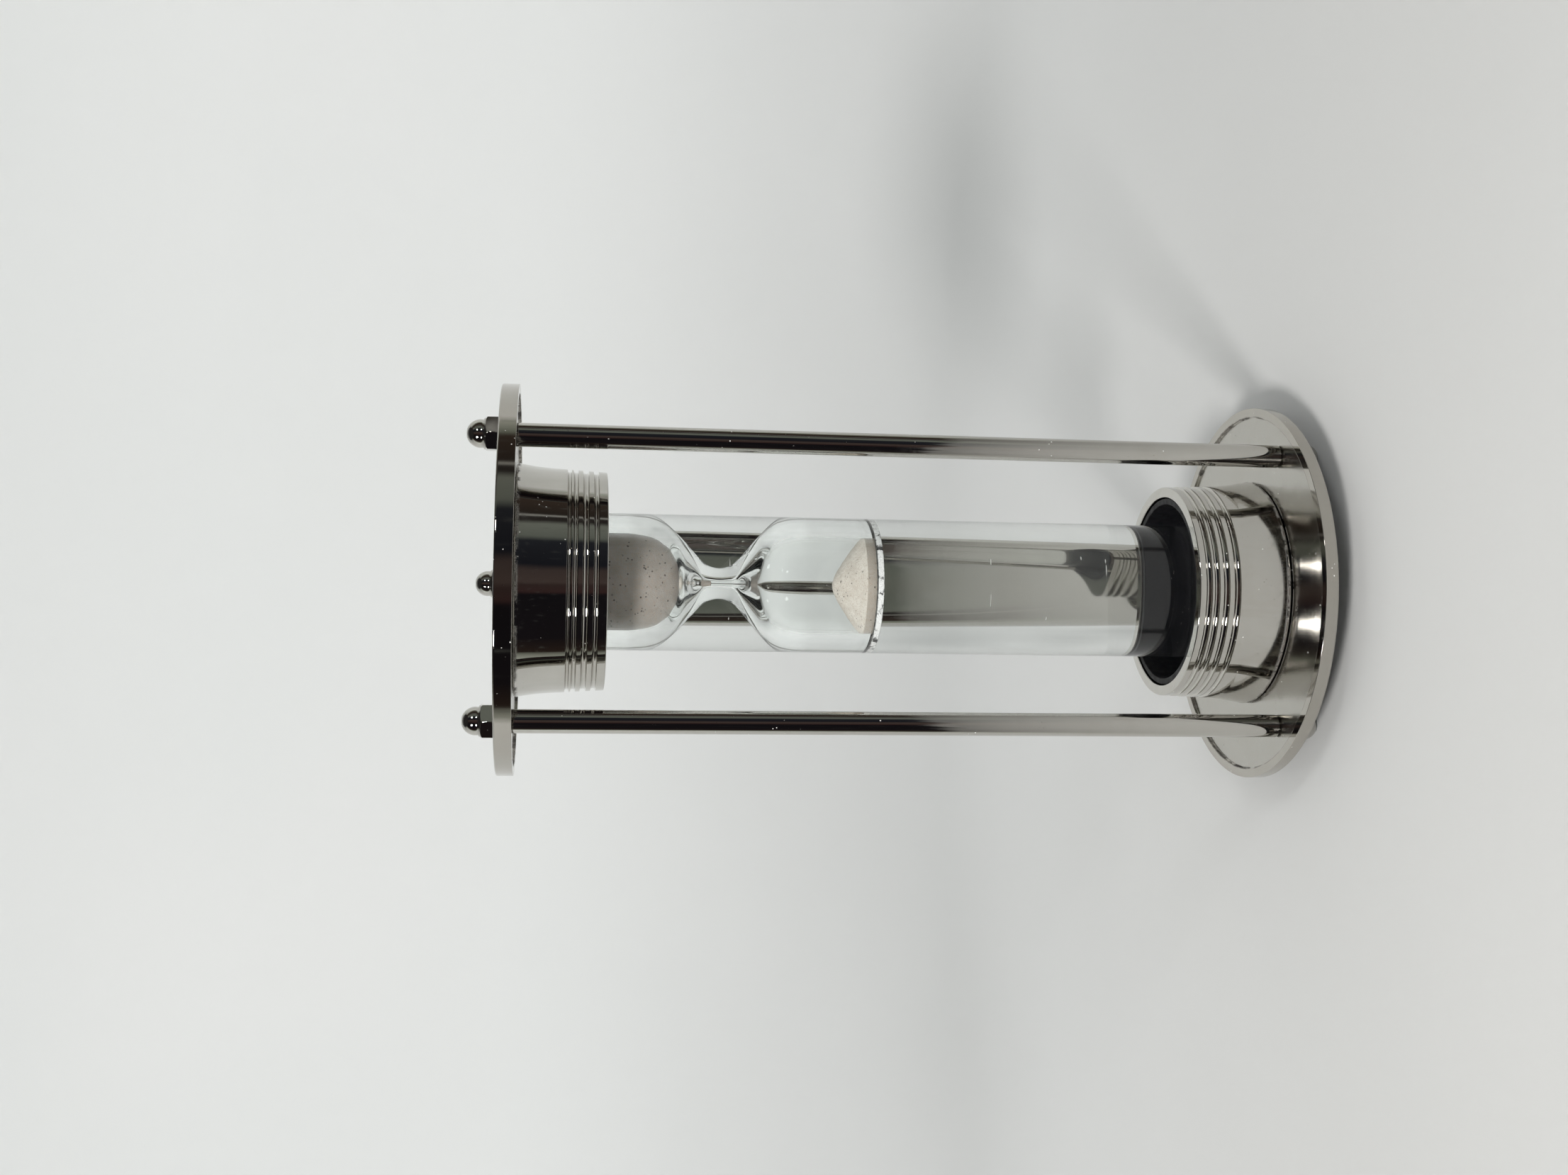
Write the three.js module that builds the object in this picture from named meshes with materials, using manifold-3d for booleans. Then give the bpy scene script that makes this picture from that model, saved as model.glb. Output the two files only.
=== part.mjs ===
// Floating hourglass: a sand glass that floats in a liquid-filled clear tube, held in a
// turned metal stand of two round plates, three rods, two collars and six domed cap nuts.
//
// Millimetres, +Z up. The origin is the middle of the surface that the three domed feet
// rest on. -Y is the front: one rod stands at the back, two stand at the front.

import * as THREE from 'three';
import { mergeVertices } from 'three/addons/utils/BufferGeometryUtils.js';
import Module from 'manifold-3d';

// ---------------------------------------------------------------- driving dimensions

const GAP = 0.3; // clearance kept between neighbouring pieces

const PLATE_RADIUS = 50;
const BASE_THICKNESS = 3.4;
const TOP_THICKNESS = 4.4;
const PLATE_SPACING = 195.2; // between the inner faces of the two plates' lips
const LIP_WIDTH = 2.4; // raised border on each plate's inner face
const LIP_HEIGHT = 0.8;
const EDGE_ROUND = 0.5; // broken edge around each plate's outer face

const ROD_RADIUS = 2.95;
const ROD_CIRCLE_RADIUS = 40.5;
const ROD_AZIMUTHS = { left: 210, right: 330, back: 90 }; // degrees from +X
const STUD_RADIUS = 2.4; // reduced threaded end of a rod
const STUD_REACH = 4.8; // how far a stud stands out of the plate
const STUD_CHAMFER = 0.4;

const NUT_FLATS = 8; // across the hexagon's flats
const NUT_HEX_HEIGHT = 3.1;
const NUT_HEIGHT = 7.6;
const NUT_BORE_DEPTH = 4.9; // to where the drill's cone begins
const NUT_BORE_TIP = 0.8;
const NUT_CHAMFER = 0.45;
const DOME_RADIUS = 3.5;
const DOME_TIP_RADIUS = 1.0; // small flat on the dome, which the stand rests on

const COLLAR_RIM_RADIUS = 28.1;
const COLLAR_WAIST_RADIUS = 29.0; // where the cone meets the flared foot
const COLLAR_FOOT_RADIUS = 30.0;
const COLLAR_BORE_RADIUS = 25.4;
const COLLAR_FLOOR = 2.4;
const COLLAR_FLARE_HEIGHT = 7.0;
const COLLAR_FLARE_DIP = 0.1; // how far the flare curves in from a straight cone
const COLLAR_FOOT_ROUND = 1.0;
const GROOVE_DEPTH = 0.7;
const LOWER_COLLAR = {
  height: 23.7,
  // each groove: distance of its middle from the rim, and its width
  grooves: [[2.4, 1.5], [4.5, 1.4], [7.0, 1.6], [9.9, 1.6]],
};
const UPPER_COLLAR = {
  height: 22.9,
  grooves: [[2.8, 1.3], [5.4, 1.5], [7.9, 1.2], [9.5, 1.0]],
};

const SEAT_FLOOR = 1.8; // black seat that lines a collar and centres the tube
const SEAT_BLOCK_HEIGHT = 7.5;
const SEAT_WALL = 1.6;
const SEAT_BELOW_RIM = 0.5;

const SCREW_HEAD_RADIUS = 4.3; // countersunk screw that holds a collar to its plate
const SCREW_HEAD_HEIGHT = 1.9;
const SCREW_RADIUS = 2.4;
const SCREW_SLOT_WIDTH = 1.0;
const SCREW_SLOT_DEPTH = 0.7;

const TUBE_RADIUS = 17.7;
const TUBE_WALL = 2.5;
const PLUG_LENGTH = 5.4;

const GLASS_LENGTH = 83; // the whole hourglass, with its two end discs
const GLASS_RADIUS = 13.8;
const GLASS_BORE_RADIUS = 12.7;
const NECK_RADIUS = 3.0;
const NECK_BORE_RADIUS = 0.65;
const FUNNEL_LENGTH = 20.5; // from the neck to the straight wall of a bulb
const END_DISC_THICKNESS = 1.6;

const UPPER_SAND_DEPTH = 32; // height of the upper sand's border above the neck
const UPPER_SAND_CRATER = 4; // how far its middle has sunk
const UPPER_SAND_START = 2; // the lowest sand, above the neck
const LOWER_SAND_WALL = 2.4; // height of the lower heap at the glass wall
const LOWER_SAND_PEAK = 9.4;
const LOWER_SAND_TIP_RADIUS = 0.8;

const FINE = 48; // facets of a large round piece
const MEDIUM = 36; // facets of the glass and sand
const COARSE = 16; // facets of a small round piece
const FUNNEL_STEPS = 6;

// ---------------------------------------------------------------- heights worked out from them

const baseBottom = NUT_HEIGHT + GAP;
const baseField = baseBottom + BASE_THICKNESS - LIP_HEIGHT;
const topLip = baseBottom + BASE_THICKNESS + PLATE_SPACING;
const topField = topLip + LIP_HEIGHT;
const topFace = topLip + TOP_THICKNESS;

// From a plate's field inward, an end of the stand stacks collar, seat and tube.
const collarStart = GAP;
const collarFloorTop = collarStart + COLLAR_FLOOR;
const seatStart = collarFloorTop + GAP;
const tubeStart = seatStart + SEAT_FLOOR + GAP;

const tubeBottom = baseField + tubeStart;
const tubeTop = topField - tubeStart;
const glassTop = tubeTop - PLUG_LENGTH - GAP;
const neckHeight = glassTop - GLASS_LENGTH / 2;
const bulbEnd = GLASS_LENGTH / 2 - END_DISC_THICKNESS - GAP;

// ---------------------------------------------------------------- materials

const nickel = () => new THREE.MeshStandardMaterial({ color: 0xb9b5ab, roughness: 0.12, metalness: 1 });
const blackSeat = () => new THREE.MeshStandardMaterial({ color: 0x121214, roughness: 0.6, metalness: 0 });
const blackRubber = () => new THREE.MeshStandardMaterial({ color: 0x1b1b1d, roughness: 0.75, metalness: 0 });
const steel = () => new THREE.MeshStandardMaterial({ color: 0x9c9c9a, roughness: 0.35, metalness: 1 });
const sand = () => new THREE.MeshStandardMaterial({ color: 0xd9cdc1, roughness: 0.95, metalness: 0 });
const clear = (color, opacity) =>
  new THREE.MeshStandardMaterial({ color, opacity, transparent: true, roughness: 0.03, metalness: 0 });

// ---------------------------------------------------------------- solids

const wasm = await Module();
wasm.setup();

const point = (radius, height) => new THREE.Vector2(radius, height);

// A solid of revolution about Z from [radius, height] points, listed with the
// material on their left.
function turned(profile, facets) {
  const outline = profile.map(([radius, height]) => point(radius, height));
  return new THREE.LatheGeometry(outline, facets).rotateX(Math.PI / 2);
}

// The same for a ring, whose profile closes on itself away from the axis.
const turnedRing = (profile, facets) => turned([...profile, profile[0]], facets);

function toManifold(geometry) {
  const bare = geometry.clone();
  bare.deleteAttribute('normal');
  bare.deleteAttribute('uv');
  const merged = mergeVertices(bare, 1e-5);
  const index = merged.index.array;
  const triangles = [];
  for (let i = 0; i < index.length; i += 3) {
    const [a, b, c] = [index[i], index[i + 1], index[i + 2]];
    if (a !== b && b !== c && c !== a) triangles.push(a, b, c);
  }
  return new wasm.Manifold(new wasm.Mesh({
    numProp: 3,
    vertProperties: new Float32Array(merged.attributes.position.array),
    triVerts: new Uint32Array(triangles),
  }));
}

function toGeometry(manifold) {
  const mesh = manifold.getMesh();
  const geometry = new THREE.BufferGeometry();
  geometry.setAttribute('position', new THREE.BufferAttribute(new Float32Array(mesh.vertProperties), 3));
  geometry.setIndex(new THREE.BufferAttribute(new Uint32Array(mesh.triVerts), 1));
  geometry.computeVertexNormals();
  return geometry;
}

const joined = (...parts) => toGeometry(parts.map(toManifold).reduce((all, part) => all.add(part)));
const cutFrom = (body, ...tools) =>
  toGeometry(tools.map(toManifold).reduce((left, tool) => left.subtract(tool), toManifold(body)));
const common = (a, b) => toGeometry(toManifold(a).intersect(toManifold(b)));

// Rises smoothly from 0 to 1, level at both ends.
const smoothRise = (u) => u * u * (3 - 2 * u);

// Radius of the hourglass at a distance from its neck, for its outside or its bore.
function funnelRadius(distance, neckRadius, bulbRadius) {
  const u = Math.min(Math.abs(distance) / FUNNEL_LENGTH, 1);
  return neckRadius + (bulbRadius - neckRadius) * smoothRise(u);
}

// ---------------------------------------------------------------- pieces of the stand

const rodPlaces = Object.entries(ROD_AZIMUTHS).map(([name, azimuth]) => {
  const angle = THREE.MathUtils.degToRad(azimuth);
  return { name, x: ROD_CIRCLE_RADIUS * Math.cos(angle), y: ROD_CIRCLE_RADIUS * Math.sin(angle) };
});

// A plate with its outer face at z = 0 and its lip at z = thickness. The rod holes
// take the sign that mirrors them when the plate is turned over.
function plate(thickness, mirror) {
  const field = thickness - LIP_HEIGHT;
  const disc = turned([
    [0, 0],
    [PLATE_RADIUS - EDGE_ROUND, 0],
    [PLATE_RADIUS, EDGE_ROUND],
    [PLATE_RADIUS, thickness],
    [PLATE_RADIUS - LIP_WIDTH, thickness],
    [PLATE_RADIUS - LIP_WIDTH, field],
    [0, field],
  ], FINE);
  const rodHoles = rodPlaces.map(({ x, y }) =>
    turned([
      [0, -1],
      [STUD_RADIUS + GAP, -1],
      [STUD_RADIUS + GAP, thickness + 1],
      [0, thickness + 1],
    ], COARSE).translate(x, mirror * y, 0));
  const screwHole = turned([
    [0, -1],
    [SCREW_HEAD_RADIUS + GAP + 1, -1],
    [SCREW_RADIUS + GAP, SCREW_HEAD_HEIGHT],
    [SCREW_RADIUS + GAP, thickness + 1],
    [0, thickness + 1],
  ], COARSE);
  return cutFrom(disc, ...rodHoles, screwHole);
}

// A collar standing on its foot at z = 0, with its open rim up.
function collar({ height, grooves }) {
  const wall = [];
  const coneSlope = (COLLAR_WAIST_RADIUS - COLLAR_RIM_RADIUS) / (height - COLLAR_FLARE_HEIGHT);
  const coneRadius = (z) => COLLAR_RIM_RADIUS + (height - z) * coneSlope;
  wall.push([COLLAR_FOOT_RADIUS - COLLAR_FOOT_ROUND, 0], [COLLAR_FOOT_RADIUS, COLLAR_FOOT_ROUND]);
  const flareMiddle = (COLLAR_FOOT_RADIUS + COLLAR_WAIST_RADIUS) / 2 - COLLAR_FLARE_DIP;
  wall.push([flareMiddle, COLLAR_FLARE_HEIGHT / 2]);
  wall.push([COLLAR_WAIST_RADIUS, COLLAR_FLARE_HEIGHT]);
  for (const [fromRim, width] of [...grooves].reverse()) {
    const middle = height - fromRim;
    for (const [offset, depth] of [[-0.5, 0], [-0.25, 1], [0.25, 1], [0.5, 0]]) {
      const z = middle + offset * width;
      wall.push([coneRadius(z) - depth * GROOVE_DEPTH, z]);
    }
  }
  return turnedRing([
    [SCREW_RADIUS + GAP, 0],
    ...wall,
    [COLLAR_RIM_RADIUS, height],
    [COLLAR_BORE_RADIUS, height],
    [COLLAR_BORE_RADIUS, COLLAR_FLOOR],
    [SCREW_RADIUS + GAP, COLLAR_FLOOR],
  ], FINE);
}

// The black cup inside a collar, standing at z = 0: a floor that the tube stands on,
// a block around the tube's end, and a thin wall up to the rim.
function seat(collarHeight) {
  const outer = COLLAR_BORE_RADIUS - GAP;
  const height = collarHeight - COLLAR_FLOOR - GAP - SEAT_BELOW_RIM;
  return turned([
    [0, 0],
    [outer, 0],
    [outer, height],
    [outer - SEAT_WALL, height],
    [outer - SEAT_WALL, SEAT_BLOCK_HEIGHT],
    [TUBE_RADIUS + GAP, SEAT_BLOCK_HEIGHT],
    [TUBE_RADIUS + GAP, SEAT_FLOOR],
    [0, SEAT_FLOOR],
  ], FINE);
}

// A countersunk screw with its slotted head flush at z = 0, pointing up.
function collarScrew(length) {
  const body = turned([
    [0, 0],
    [SCREW_HEAD_RADIUS, 0],
    [SCREW_RADIUS, SCREW_HEAD_HEIGHT],
    [SCREW_RADIUS, length - STUD_CHAMFER],
    [SCREW_RADIUS - STUD_CHAMFER, length],
    [0, length],
  ], COARSE);
  const slot = new THREE.BoxGeometry(3 * SCREW_HEAD_RADIUS, SCREW_SLOT_WIDTH, 2 * SCREW_SLOT_DEPTH);
  return cutFrom(body, slot);
}

// A rod between the two fields, with a threaded stud at each end.
function rod() {
  const low = baseField + GAP;
  const high = topField - GAP;
  const studLow = baseBottom - STUD_REACH;
  const studHigh = topFace + STUD_REACH;
  return turned([
    [0, studLow],
    [STUD_RADIUS - STUD_CHAMFER, studLow],
    [STUD_RADIUS, studLow + STUD_CHAMFER],
    [STUD_RADIUS, low],
    [ROD_RADIUS, low],
    [ROD_RADIUS, high],
    [STUD_RADIUS, high],
    [STUD_RADIUS, studHigh - STUD_CHAMFER],
    [STUD_RADIUS - STUD_CHAMFER, studHigh],
    [0, studHigh],
  ], COARSE);
}

// A cap nut with its bearing face at z = 0 and its dome up.
function capNut() {
  const cornerRadius = NUT_FLATS / Math.sqrt(3);
  const hex = new THREE.CylinderGeometry(cornerRadius, cornerRadius, NUT_HEX_HEIGHT, 6)
    .rotateX(Math.PI / 2)
    .translate(0, 0, NUT_HEX_HEIGHT / 2);
  const chamfer = turned([
    [0, -1],
    [cornerRadius + 1, -1],
    [cornerRadius + 1, NUT_HEX_HEIGHT - 1 - NUT_CHAMFER],
    [cornerRadius - NUT_CHAMFER, NUT_HEX_HEIGHT],
    [0, NUT_HEX_HEIGHT],
  ], 2 * COARSE);
  const domeCentre = NUT_HEIGHT - Math.sqrt(DOME_RADIUS ** 2 - DOME_TIP_RADIUS ** 2);
  const dome = [[0, NUT_HEX_HEIGHT / 2], [DOME_RADIUS, NUT_HEX_HEIGHT / 2]];
  const tipAngle = Math.acos(DOME_TIP_RADIUS / DOME_RADIUS);
  const steps = 4;
  for (let i = 0; i <= steps; i += 1) {
    const angle = (tipAngle * i) / steps;
    dome.push([DOME_RADIUS * Math.cos(angle), domeCentre + DOME_RADIUS * Math.sin(angle)]);
  }
  dome.push([0, NUT_HEIGHT]);
  const boreRadius = STUD_RADIUS + GAP;
  const bore = turned([
    [0, -1],
    [boreRadius, -1],
    [boreRadius, NUT_BORE_DEPTH],
    [0, NUT_BORE_DEPTH + NUT_BORE_TIP],
  ], COARSE);
  return cutFrom(joined(common(hex, chamfer), turned(dome, COARSE)), bore);
}

// ---------------------------------------------------------------- tube and hourglass

const tube = () => turnedRing([
  [TUBE_RADIUS - TUBE_WALL, tubeBottom],
  [TUBE_RADIUS, tubeBottom],
  [TUBE_RADIUS, tubeTop],
  [TUBE_RADIUS - TUBE_WALL, tubeTop],
], FINE);

function plug() {
  const radius = TUBE_RADIUS - TUBE_WALL - GAP;
  return turned([[0, 0], [radius, 0], [radius, PLUG_LENGTH], [0, PLUG_LENGTH]], FINE);
}

// Both bulbs and the neck between them, open at the ends, with the neck at z = 0.
function bulbs() {
  const distances = [-bulbEnd];
  for (let i = -FUNNEL_STEPS; i <= FUNNEL_STEPS; i += 1) distances.push((FUNNEL_LENGTH * i) / FUNNEL_STEPS);
  distances.push(bulbEnd);
  const outside = distances.map((z) => [funnelRadius(z, NECK_RADIUS, GLASS_RADIUS), z]);
  const bore = distances.map((z) => [funnelRadius(z, NECK_BORE_RADIUS, GLASS_BORE_RADIUS), z]);
  return turnedRing([...outside, ...bore.reverse()], MEDIUM);
}

const endDisc = () => turned([
  [0, 0],
  [GLASS_RADIUS, 0],
  [GLASS_RADIUS, END_DISC_THICKNESS],
  [0, END_DISC_THICKNESS],
], MEDIUM);

// Sand still in the upper bulb, with the neck at z = 0 and a crater in its surface.
function upperSand() {
  const profile = [[0, UPPER_SAND_START]];
  for (let i = 0; i <= FUNNEL_STEPS; i += 1) {
    const z = UPPER_SAND_START + ((FUNNEL_LENGTH - UPPER_SAND_START) * i) / FUNNEL_STEPS;
    profile.push([funnelRadius(z, NECK_BORE_RADIUS, GLASS_BORE_RADIUS) - GAP, z]);
  }
  profile.push([GLASS_BORE_RADIUS - GAP, UPPER_SAND_DEPTH]);
  profile.push([0, UPPER_SAND_DEPTH - UPPER_SAND_CRATER]);
  return turned(profile, MEDIUM);
}

// The heap in the lower bulb, standing at z = 0.
const lowerSand = () => turned([
  [0, 0],
  [GLASS_BORE_RADIUS - GAP, 0],
  [GLASS_BORE_RADIUS - GAP, LOWER_SAND_WALL],
  [LOWER_SAND_TIP_RADIUS, LOWER_SAND_PEAK],
  [0, LOWER_SAND_PEAK],
], MEDIUM);

// ---------------------------------------------------------------- assembly

function piece(name, geometry, material, z = 0) {
  const mesh = new THREE.Mesh(geometry, material);
  mesh.name = name;
  mesh.position.z = z;
  return mesh;
}

// One end of the stand, from its plate's outer face inward along +Z.
function standEnd({ place, mirror, thickness, collarShape }) {
  const field = thickness - LIP_HEIGHT;
  const screwLength = field + collarFloorTop - GAP;
  const end = new THREE.Group();
  end.add(
    piece(place.plate, plate(thickness, mirror), nickel()),
    piece(`${place.part}_collar`, collar(collarShape), nickel(), field + collarStart),
    piece(`${place.part}_collar_screw`, collarScrew(screwLength), steel()),
    piece(`${place.part}_seat`, seat(collarShape.height), blackSeat(), field + seatStart),
    piece(`${place.part}_plug`, plug(), blackRubber(), field + tubeStart),
  );
  return end;
}

const lowerEnd = standEnd({
  place: { plate: 'base_plate', part: 'lower' },
  mirror: 1,
  thickness: BASE_THICKNESS,
  collarShape: LOWER_COLLAR,
});
lowerEnd.position.z = baseBottom;

const upperEnd = standEnd({
  place: { plate: 'top_plate', part: 'upper' },
  mirror: -1,
  thickness: TOP_THICKNESS,
  collarShape: UPPER_COLLAR,
});
upperEnd.position.z = topFace;
upperEnd.rotation.x = Math.PI;

const posts = new THREE.Group();
for (const { name, x, y } of rodPlaces) {
  const post = new THREE.Group();
  post.position.set(x, y, 0);
  const topNut = piece(`top_nut_${name}`, capNut(), nickel(), topFace + GAP);
  const footNut = piece(`foot_nut_${name}`, capNut(), nickel(), baseBottom - GAP);
  footNut.rotation.x = Math.PI;
  post.add(piece(`rod_${name}`, rod(), nickel()), topNut, footNut);
  posts.add(post);
}

const hourglass = new THREE.Group();
hourglass.position.z = neckHeight;
hourglass.add(
  piece('hourglass_bulbs', bulbs(), clear(0xf4f6f5, 0.3)),
  piece('hourglass_lower_disc', endDisc(), clear(0xf4f6f5, 0.3), -GLASS_LENGTH / 2),
  piece('hourglass_upper_disc', endDisc(), clear(0xf4f6f5, 0.3), bulbEnd + GAP),
  piece('upper_sand', upperSand(), sand()),
  piece('lower_sand', lowerSand(), sand(), -bulbEnd),
);

const stand = new THREE.Group();
stand.add(lowerEnd, upperEnd, posts, piece('tube', tube(), clear(0xf2f5f5, 0.25)), hourglass);

export default stand;
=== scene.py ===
"""Floating hourglass: the looks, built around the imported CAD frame.

A small sand glass floats in a liquid-filled clear tube. Two turned, nickel-plated collars hold
the tube between two round plates, three rods and six domed cap nuts. The liquid has no mesh of
its own: each wall's two surfaces carry the index of refraction against what they touch.
"""

import math

import bmesh
import bpy
from mathutils import Matrix, Vector, noise


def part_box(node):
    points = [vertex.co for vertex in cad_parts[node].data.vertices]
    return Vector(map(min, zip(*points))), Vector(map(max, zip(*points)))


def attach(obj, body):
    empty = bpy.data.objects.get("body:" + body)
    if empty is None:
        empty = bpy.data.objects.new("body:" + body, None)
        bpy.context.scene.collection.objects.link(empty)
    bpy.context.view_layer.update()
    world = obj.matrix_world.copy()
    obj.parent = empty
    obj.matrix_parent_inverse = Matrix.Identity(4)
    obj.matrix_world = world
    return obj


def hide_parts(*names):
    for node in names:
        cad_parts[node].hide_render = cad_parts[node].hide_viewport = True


MM = 0.001

# ------------------------------------------------------------------ camera
CAMERA_PLACE = Vector((-12.38, -434.39, 196.91)) * MM
CAMERA_YAW = math.radians(1.535)  # from +Y towards +X
CAMERA_DIP = math.radians(7.8)  # below the horizon
CAMERA_ROLL = math.radians(0.996)  # beyond the quarter turn
CAMERA_LENS = 38.41
CAMERA_SENSOR = 36.0

# ------------------------------------------------------------------ shape details, in mm
EDGE = 0.25  # radius of a broken metal edge
FINE_EDGE = 0.12
PLATE_EDGE = 0.5
LIP_WIDTH = 2.4  # raised border of each plate
LIP_HEIGHT = 0.8
STUD_RADIUS = 2.4
STUD_CLEARANCE = 0.3
STUD_CHAMFER = 0.4
COLLAR_RIM = 28.1
COLLAR_BORE = 25.4
COLLAR_FLOOR = 2.4
COLLAR_FLARE = 10.0
COLLAR_WAIST_HEIGHT = 7.0
LOWER_SHAPE = (28.815, 0.84, 1.5)  # waist, what the flare adds at the foot, how it rises
UPPER_SHAPE = (29.0, 0.587, 2.3)
COLLAR_FOOT_EDGE = 1.0
FLARE_STEPS = 18
GROOVE_DEPTH = 0.7
GROOVE_LAND = 0.03  # how far the grooves' edges lie below the wall
GROOVE_SHOULDER = 0.1  # on each side, as a share of the groove's width
GROOVE_FULLNESS = 0.8  # 1 is a plain arc, less has a flatter bottom
GROOVE_STEPS = 10
LOWER_GROOVES = ((2.4, 1.5), (4.5, 1.4), (7.0, 1.6), (9.9, 1.6))  # from the rim, width
UPPER_GROOVES = ((2.8, 1.3), (5.4, 1.5), (7.9, 1.2), (9.5, 1.0))
SCREW_RADIUS = 2.4
SCREW_HEAD = 1.9
SCREW_SLOT = (1.0, 0.7)  # width, depth
SEAT_FLOOR = 1.8
SEAT_BLOCK = 7.5
SEAT_WALL = 1.6
SEAT_BORE = 18.0
SEAT_CORNER = 1.2
PLUG_EDGE = 0.4
NUT_FLATS = 8.0
NUT_HEX = 3.1
NUT_CHAMFER = 0.45
NUT_COLLAR = 0.35  # turned step between the hexagon and the dome
NUT_STEP = (0.25, 0.45)  # where the step ends and the dome starts, above the hexagon
DOME_RADIUS = 3.5
DOME_FLAT = 1.0
DOME_STEPS = 20
NUT_BORE = (2.7, 4.9, 0.8)  # radius, depth, drill cone
TUBE_WALL = 2.5
GLASS_BORE = 12.7
GLASS_OUTSIDE = (  # distance from the neck, outer radius
    (0, 3.0),
    (3, 3.55),
    (5, 4.75),
    (6.8, 6.3),
    (10.5, 9.4),
    (14.2, 12.0),
    (17, 13.2),
    (20.5, 13.8),
)
GLASS_INSIDE = (  # distance from the neck, inner radius
    (0, 0.65),
    (3, 0.8),
    (4, 1.0),
    (5, 1.6),
    (6.5, 3.3),
    (8, 5.2),
    (9.5, 7.15),
    (10.5, 8.3),
    (11.5, 9.2),
    (13.2, 10.35),
    (16, 11.6),
    (19.7, 12.4),
    (24, 12.7),
)
GLASS_STEPS = 64
DISC_SEAM = 0.02  # between a bulb's end and its disc
SEAM = 0.35  # height of the dark line where they are fused
SAND_CLEARANCE = 0.1
BANK = 2.4  # height of the sand at the wall
HEAP_TIP = 3.0  # how round the top of the heap is
CRATER = 4.0  # depth of the hollow in the upper sand
DISC_EDGE = 0.3
CHIP_DEPTH = 0.35
CHIPPED = 0.4  # width of the chipped rim
GRAINS = (0.04, 900.0)  # how far the upper sand's surface is moved, and how fine the marks are
HEAP_GRAINS = (0.09, 1400.0)
BUBBLE_RADIUS = 0.42
BUBBLE_BELOW = 7.2  # below the neck
BUBBLE_SIDE = math.radians(-25)
BUBBLE_WIDTH = 1.05  # how much wider than high

ROUND = 192  # facets of a large round piece
SMALL_ROUND = 64
GLASS_ROUND = 160
BUBBLE_ROUND = 32
SHARP = math.radians(32)

# ------------------------------------------------------------------ index of refraction
TUBE_TO_AIR = 1.49
TUBE_TO_LIQUID = 1.12
GLASS_TO_AIR = 1.5
GLASS_TO_LIQUID = 1.128
BUBBLE_SKIN = 1.33

# ------------------------------------------------------------------ colours
NICKEL = (0.53, 0.515, 0.48)
PLATE_NICKEL = (0.47, 0.455, 0.42)
BORDER_NICKEL = (0.42, 0.395, 0.355)
TARNISH = (0.42, 0.39, 0.345)
BORDER_HAZE = 0.06
PIT_BROWN = (0.16, 0.13, 0.10)
METAL_DUST = (0.80, 0.80, 0.78)
# colour of the painted shade in the corners
CORNER_SHADE_COLOUR = (0.055, 0.042, 0.030)
CLEAR_TINT = (0.985, 0.995, 0.99)
# colour of the painted dark outline where a clear wall is seen edge on
CLEAR_OUTLINE_SHADE = (0.05, 0.05, 0.05)
CLEAR_SHADOW = (0.985, 0.985, 0.985, 1)  # what a clear wall lets lamps' light keep
# painted shade: the upper bulb's sand is a darker, greyer copy of the lower sand
SHADED_UPPER_SAND = ((0.29, 0.268, 0.245), (0.235, 0.213, 0.19))  # light, dark
LOWER_SAND = ((0.67, 0.64, 0.58), (0.54, 0.50, 0.44))
# colour of the painted shade on the low bank of sand at the wall
SHADED_BANK_SAND = (0.27, 0.24, 0.205)
BROWN_GRAIN = (0.30, 0.20, 0.13)
BLACK_GRAIN = (0.03, 0.025, 0.02)


# ================================================================== camera and frame
def make_camera():
    """The camera stands in front, turned a quarter turn, so that the object lies on its side."""
    cos_dip = math.cos(CAMERA_DIP)
    forward = Vector(
        (math.sin(CAMERA_YAW) * cos_dip, math.cos(CAMERA_YAW) * cos_dip, -math.sin(CAMERA_DIP))
    )
    right = Vector((math.cos(CAMERA_YAW), -math.sin(CAMERA_YAW), 0))
    down = -right.cross(forward)
    x_axis = math.cos(CAMERA_ROLL) * down + math.sin(CAMERA_ROLL) * right
    y_axis = math.cos(CAMERA_ROLL) * right - math.sin(CAMERA_ROLL) * down
    turn = Matrix((x_axis, y_axis, -forward)).transposed()
    data = bpy.data.cameras.new("camera")
    data.lens = CAMERA_LENS
    data.sensor_width = CAMERA_SENSOR
    camera = bpy.data.objects.new("camera", data)
    camera.matrix_world = Matrix.Translation(CAMERA_PLACE) @ turn.to_4x4()
    bpy.context.scene.collection.objects.link(camera)
    bpy.context.scene.camera = camera


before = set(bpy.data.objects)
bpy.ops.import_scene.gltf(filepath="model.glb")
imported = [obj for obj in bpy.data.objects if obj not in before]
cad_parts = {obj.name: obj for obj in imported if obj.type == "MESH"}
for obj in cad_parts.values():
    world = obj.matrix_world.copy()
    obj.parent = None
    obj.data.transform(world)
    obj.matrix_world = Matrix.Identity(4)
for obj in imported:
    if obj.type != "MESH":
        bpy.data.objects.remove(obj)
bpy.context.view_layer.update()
make_camera()


def middle(node):
    """Centre of a CAD node's box, in metres."""
    low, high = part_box(node)
    return (low + high) / 2


# ================================================================== mesh helpers
def new_object(name, vertices, faces):
    mesh = bpy.data.meshes.new(name)
    mesh.from_pydata(vertices, [], faces)
    mesh.update()
    made = bpy.data.objects.new(name, mesh)
    bpy.context.scene.collection.objects.link(made)
    return made


def apply_modifiers(made, **options):
    graph = bpy.context.evaluated_depsgraph_get()
    made_mesh = made.evaluated_get(graph)
    mesh = bpy.data.meshes.new_from_object(made_mesh, depsgraph=graph, **options)
    made.modifiers.clear()
    made.data = mesh


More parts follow.
